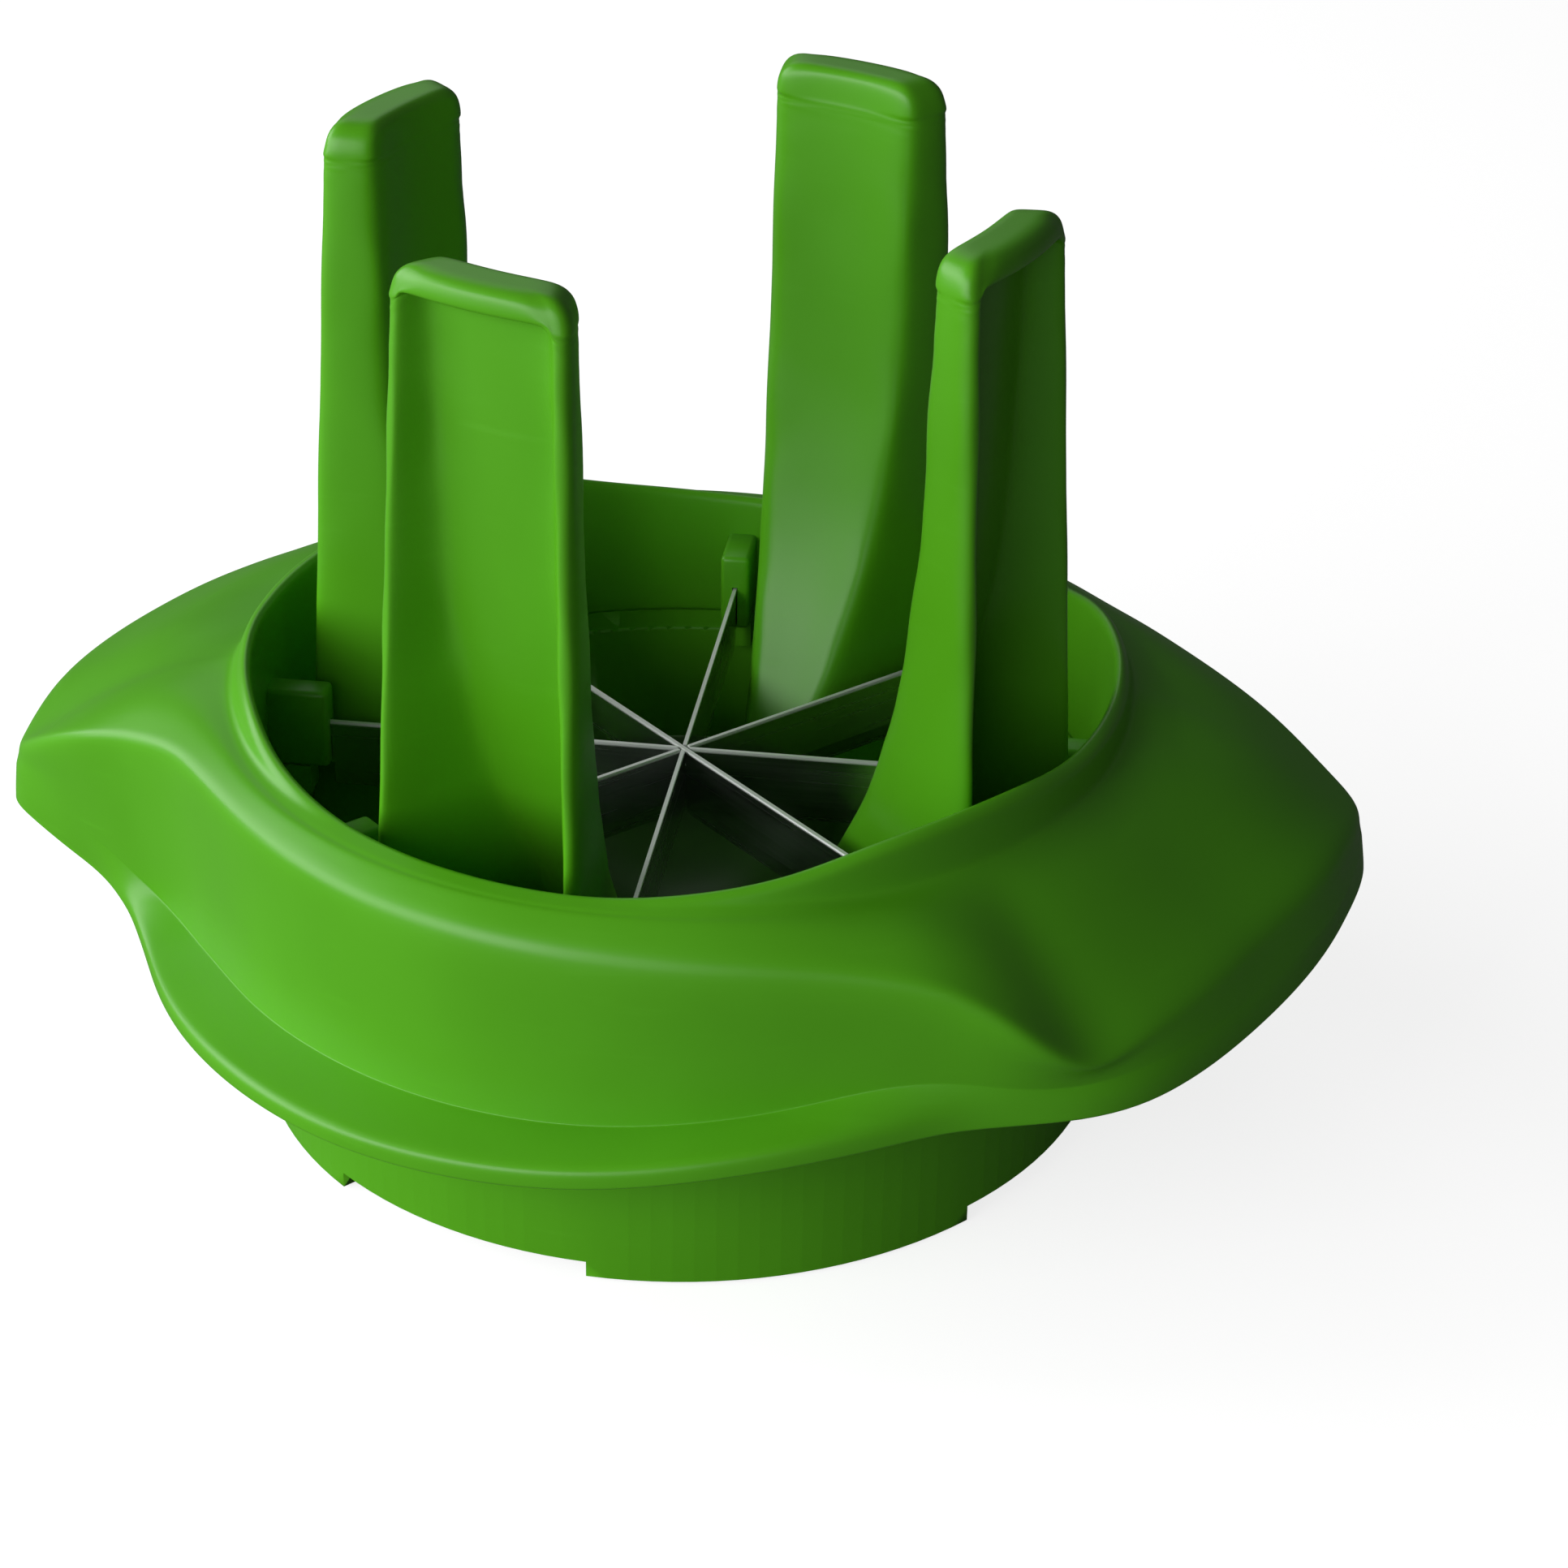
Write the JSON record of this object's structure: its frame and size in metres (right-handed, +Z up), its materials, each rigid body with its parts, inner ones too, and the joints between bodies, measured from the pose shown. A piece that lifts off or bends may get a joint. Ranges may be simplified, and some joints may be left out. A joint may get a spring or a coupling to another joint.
{
  "type": "fruit wedger press",
  "caption": "Countertop fruit wedger: a winged ring with crossed blades pushes down over upright fingers that cradle the fruit in a round tub.",
  "frame": {"origin": "axis of the press at the surface that it stands on", "axes": "+Z up along the press's axis, +X towards one wing tip"},
  "size_m": [0.2092, 0.1662, 0.1454],
  "materials": {
    "frame_green": "glossy moulded plastic",
    "base_green": "glossy moulded plastic",
    "blade_steel": "ground stainless steel",
    "screw_steel": "plated steel"
  },
  "bodies": {
    "base": {"base_tub": "base_green", "finger_cradle": "base_green", "cradle_screws": "screw_steel"},
    "press": {"press_frame": "frame_green", "blade_1": "blade_steel", "blade_2": "blade_steel", "blade_3": "blade_steel", "blade_4": "blade_steel", "blade_retainer": "frame_green", "retainer_screws": "screw_steel"}
  },
  "joints": [
    {"name": "press_slide", "type": "slide", "parent": "base", "child": "press", "axis": [0, 0, 1], "range_m": [0, 0.11]}
  ]
}
